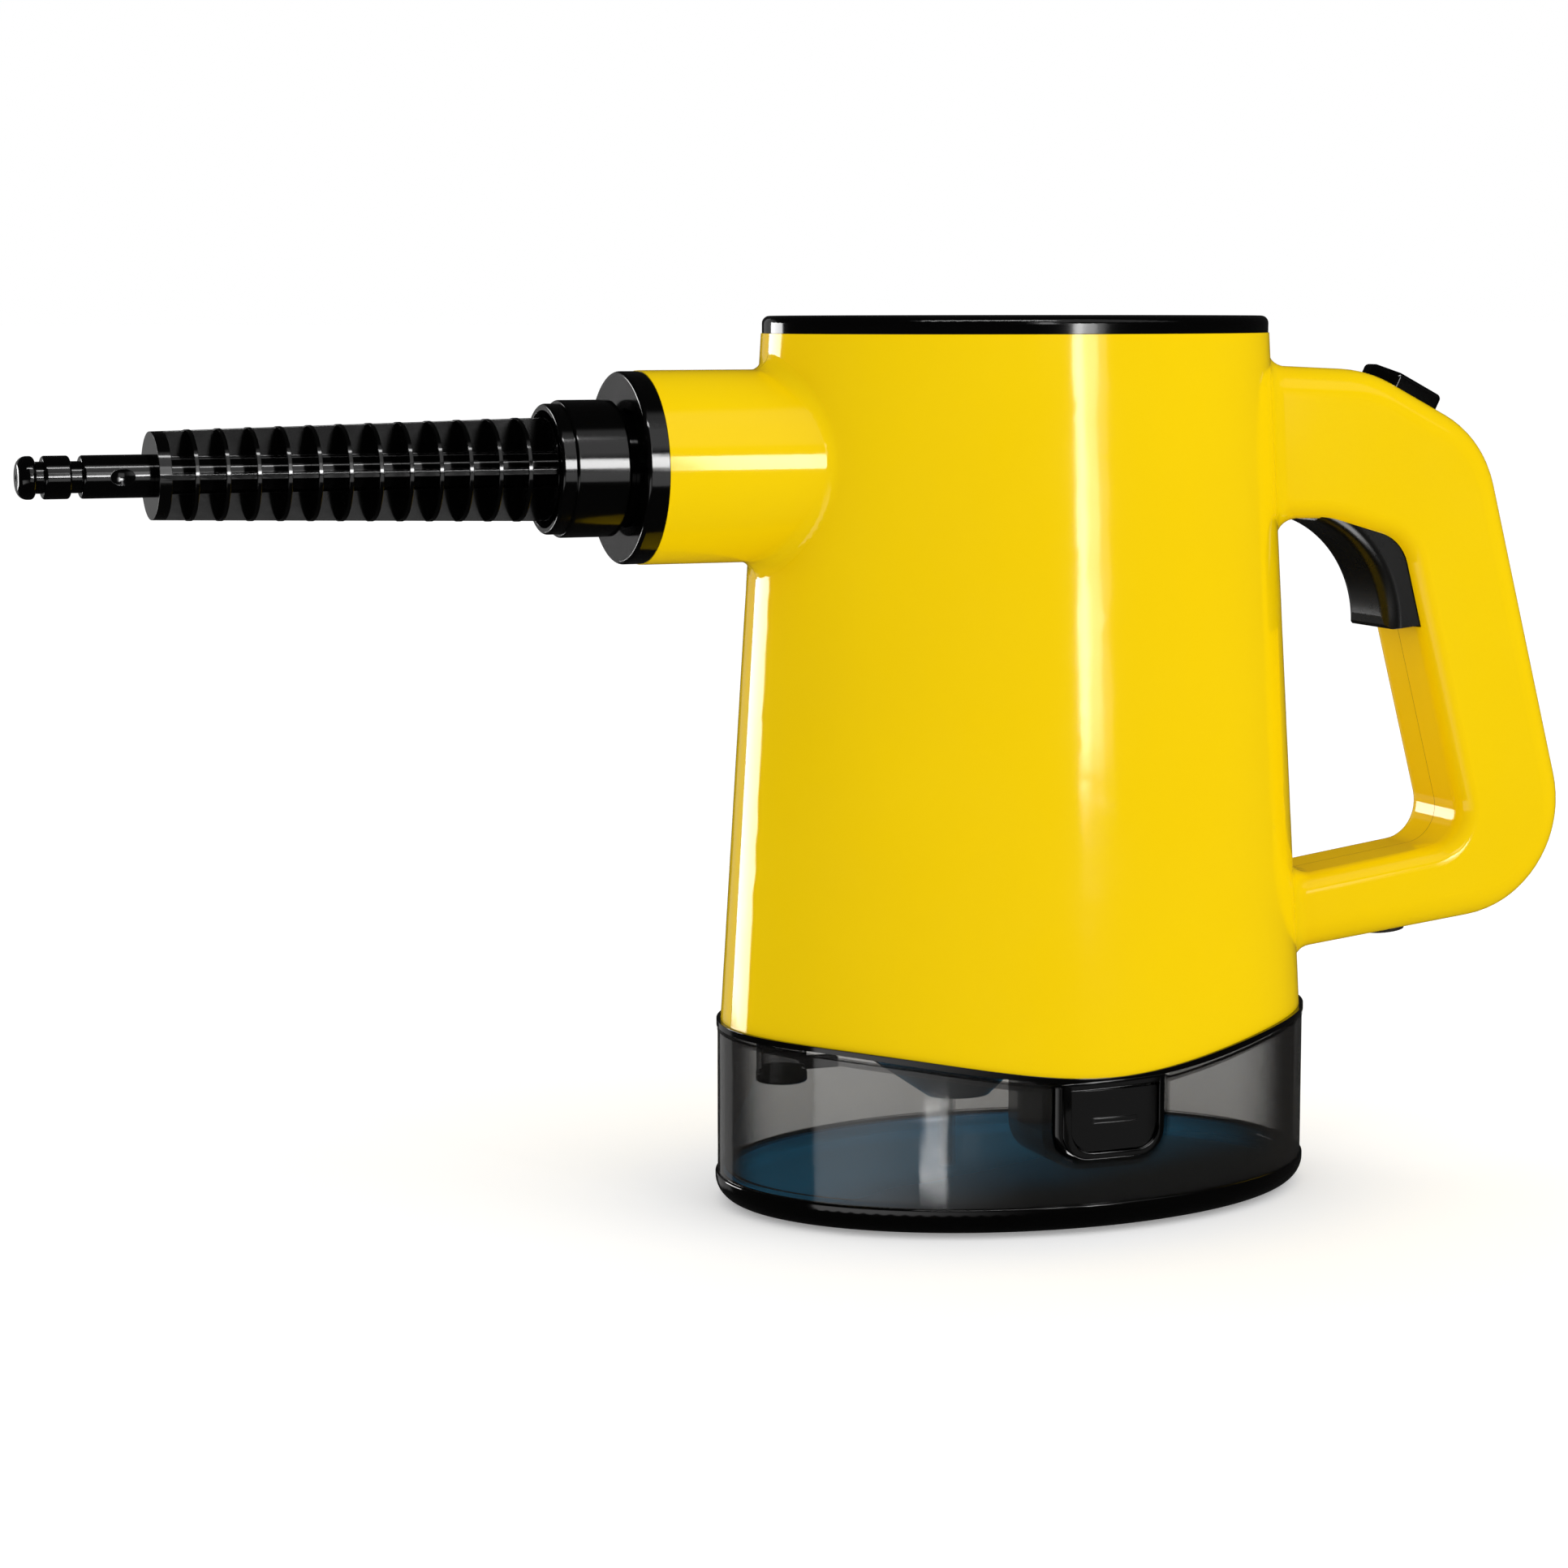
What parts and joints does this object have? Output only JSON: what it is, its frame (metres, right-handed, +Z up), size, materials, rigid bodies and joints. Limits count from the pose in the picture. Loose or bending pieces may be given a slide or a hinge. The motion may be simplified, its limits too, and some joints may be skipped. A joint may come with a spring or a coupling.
{
  "type": "wallpaper steamer",
  "caption": "Hand-held electric steamer with lift-off smoky water tank, two-shell yellow housing, closed loop handle with trigger and long finned steam nozzle",
  "frame": {"origin": "centre of the sole's underside, on the symmetry plane of the housing", "axes": "+X runs from the body to the handle and the nozzle points to -X; +Z is up; the latch is on the -Y flank"},
  "size_m": [0.4916, 0.1364, 0.2689],
  "materials": {
    "black_rubber": "soft black rubber",
    "blue_plastic": "moulded blue",
    "board_green": "coated circuit board",
    "brass": "turned brass",
    "cast_aluminium": "sand cast",
    "clear_plastic": "clear plastic",
    "coil_plastic": "moulded coil body",
    "gloss_black": "glossy moulded black",
    "grey_plastic": "moulded grey",
    "pale_silicone": "milky silicone",
    "satin_black": "fine satin black",
    "smoky_tank": "clear smoky tank plastic",
    "steel": "bright zinc",
    "white_plastic": "moulded white",
    "yellow_shell": "glossy moulded yellow"
  },
  "bodies": {
    "tank": {"tank_tub": "smoky_tank", "tank_boot": "gloss_black", "boot_sole": "black_rubber"},
    "housing": {"board_capacitors": "satin_black", "board_relay": "blue_plastic", "board_transformer": "satin_black", "boiler_bolts": "steel", "boiler_bracket": "steel", "boiler_gasket": "black_rubber", "boiler_lower": "cast_aluminium", "boiler_spacers": "white_plastic", "boiler_upper": "cast_aluminium", "cable_gland": "black_rubber", "chassis": "gloss_black", "chassis_screws": "steel", "control_board": "board_green", "flange_ring": "gloss_black", "heating_element": "steel", "inlet_coupling": "pale_silicone", "intake_sump": "gloss_black", "latch_housing": "gloss_black", "left_shell": "yellow_shell", "microswitch": "satin_black", "nozzle_socket": "gloss_black", "outlet_hose": "pale_silicone", "pickup_tube": "clear_plastic", "power_switch": "satin_black", "pump_barrel": "grey_plastic", "pump_coil": "coil_plastic", "pump_cradle": "steel", "pump_mounts": "black_rubber", "right_shell": "yellow_shell", "shell_screws": "steel", "steam_pipe": "steel", "steam_union": "brass", "tank_seal": "black_rubber", "thermal_fuse": "steel", "thermostat": "steel", "top_cover": "gloss_black", "trigger_pin": "steel", "trigger_spring": "steel", "vent_body": "smoky_tank", "vent_cap": "gloss_black", "vent_spout": "gloss_black", "water_filter": "white_plastic"},
    "nozzle": {"nozzle_core": "gloss_black", "nozzle_seal": "black_rubber", "retaining_ring": "steel", "nozzle_tip": "gloss_black"},
    "collar": {"nozzle_collar": "gloss_black"},
    "trigger": {"trigger": "satin_black"},
    "switch_button": {"switch_button": "gloss_black"},
    "latch_button": {"latch_button": "gloss_black"}
  },
  "joints": [
    {"name": "housing_lift", "type": "slide", "parent": "tank", "child": "housing", "axis": [0, 0, 1], "range_m": [0, 0.045]},
    {"name": "nozzle_pull", "type": "slide", "parent": "housing", "child": "nozzle", "axis": [-1, 0, 0], "range_m": [0, 0.034]},
    {"name": "collar_turn", "type": "hinge", "parent": "nozzle", "child": "collar", "pos_m": [-0.14, 0, 0.2248], "axis": [1, 0, 0], "range_deg": [0, 60]},
    {"name": "trigger_squeeze", "type": "hinge", "parent": "housing", "child": "trigger", "pos_m": [0.10535, 0, 0.2125], "axis": [0, -1, 0], "range_deg": [0, 8], "stiffness_Nm_per_rad": 1, "springref_deg": -5.73, "deforming": ["trigger_spring"]},
    {"name": "switch_press", "type": "slide", "parent": "housing", "child": "switch_button", "axis": [-0.4515, 0, -0.8923], "range_m": [0, 0.003], "stiffness_N_per_m": 300, "springref_m": -0.003},
    {"name": "latch_press", "type": "slide", "parent": "housing", "child": "latch_button", "axis": [0, 1, 0], "range_m": [0, 0.0025], "stiffness_N_per_m": 800, "springref_m": -0.002}
  ]
}
